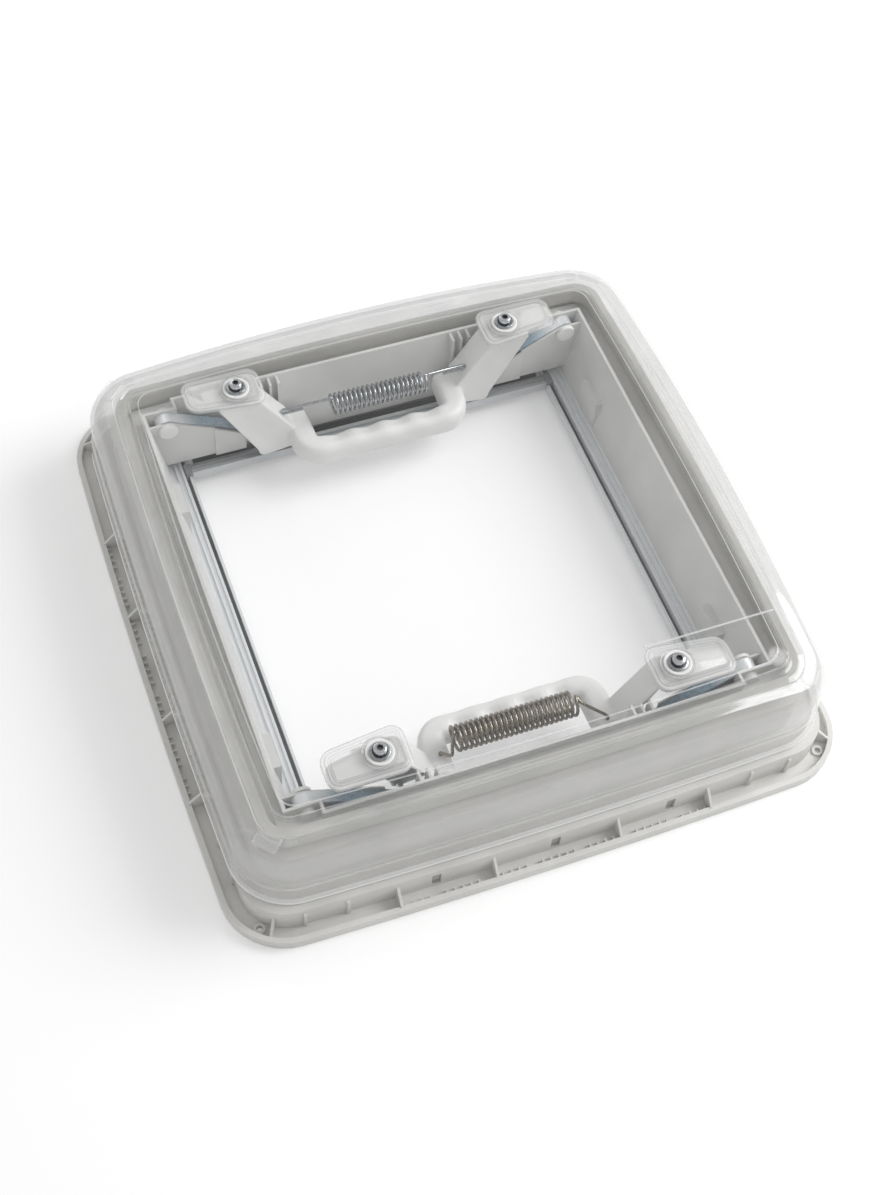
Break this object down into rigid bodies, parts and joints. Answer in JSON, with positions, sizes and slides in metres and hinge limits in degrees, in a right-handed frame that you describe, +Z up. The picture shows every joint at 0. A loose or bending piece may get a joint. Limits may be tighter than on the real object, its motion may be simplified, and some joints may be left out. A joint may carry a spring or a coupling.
{
  "type": "caravan roof vent",
  "caption": "Flanged roof vent with a clear lifting dome on sprung lever-and-groove handles, and a pleated insect screen on side rails.",
  "frame": {"origin": "centre of the flange's underside, on the roof's surface", "axes": "+Z up out of the roof, +Y towards the rear handle, where the screen is parked, +X to the right"},
  "size_m": [0.4898, 0.5058, 0.1049],
  "materials": {
    "frame_plastic": "satin moulded light grey",
    "well_plastic": "satin moulded grey",
    "seal": "light grey foam rubber",
    "dome_acrylic": "clear acrylic, milky at the rim",
    "handle_plastic": "satin white",
    "screw_steel": "bright zinc",
    "washer_plastic": "white",
    "spring_steel": "drawn wire",
    "lever_zinc": "blue zinc plate",
    "pin_steel": "turned",
    "rail_aluminium": "anodised, drawn lengthwise",
    "black_rubber": "matt black",
    "slider_plastic": "grey",
    "screen_fabric": "black pleated net"
  },
  "bodies": {
    "frame": {"outer_frame": "frame_plastic", "inner_frame": "well_plastic", "dome_seal": "seal", "pivot_pins": "pin_steel", "pivot_caps": "washer_plastic", "rail_left": "rail_aluminium", "rail_right": "rail_aluminium", "slot_seal_left": "black_rubber", "slot_seal_right": "black_rubber", "rear_cross_bar": "rail_aluminium", "front_cross_bar": "rail_aluminium", "pleated_screen": "screen_fabric"},
    "dome": {"dome_shell": "dome_acrylic", "handle_rear": "handle_plastic", "handle_front": "handle_plastic", "dome_screws": "screw_steel", "screw_washers": "screw_steel", "sealing_washers": "washer_plastic", "spring_rear": "spring_steel", "spring_front": "spring_steel"},
    "lever_rear_left": {"lever_rear_left": "lever_zinc", "guide_pin_rear_left": "pin_steel"},
    "lever_rear_right": {"lever_rear_right": "lever_zinc", "guide_pin_rear_right": "pin_steel"},
    "lever_front_left": {"lever_front_left": "lever_zinc", "guide_pin_front_left": "pin_steel"},
    "lever_front_right": {"lever_front_right": "lever_zinc", "guide_pin_front_right": "pin_steel"},
    "screen_bar": {"pull_bar": "rail_aluminium", "bar_sliders": "slider_plastic"}
  },
  "joints": [
    {"name": "dome_lift", "type": "slide", "parent": "frame", "child": "dome", "axis": [0, 0, 1], "range_m": [0, 0.065]},
    {"name": "lever_rear_left_turn", "type": "hinge", "parent": "frame", "child": "lever_rear_left", "pos_m": [-0.1705, 0.177, 0.068], "axis": [0, -1, 0], "range_deg": [0, 78.01]},
    {"name": "lever_rear_right_turn", "type": "hinge", "parent": "frame", "child": "lever_rear_right", "pos_m": [0.1705, 0.177, 0.068], "axis": [0, 1, 0], "range_deg": [0, 78.01]},
    {"name": "lever_front_left_turn", "type": "hinge", "parent": "frame", "child": "lever_front_left", "pos_m": [-0.1705, -0.177, 0.068], "axis": [0, -1, 0], "range_deg": [0, 78.01]},
    {"name": "lever_front_right_turn", "type": "hinge", "parent": "frame", "child": "lever_front_right", "pos_m": [0.1705, -0.177, 0.068], "axis": [0, 1, 0], "range_deg": [0, 78.01]},
    {"name": "screen_slide", "type": "slide", "parent": "frame", "child": "screen_bar", "axis": [0, -1, 0], "range_m": [0, 0.325], "deforming": ["pleated_screen"]}
  ],
  "couplings": [
    {"joint": "lever_rear_left_turn", "follows": "dome_lift", "rad_per_m": 20.944},
    {"joint": "lever_rear_right_turn", "follows": "dome_lift", "rad_per_m": 20.944},
    {"joint": "lever_front_left_turn", "follows": "dome_lift", "rad_per_m": 20.944},
    {"joint": "lever_front_right_turn", "follows": "dome_lift", "rad_per_m": 20.944}
  ]
}
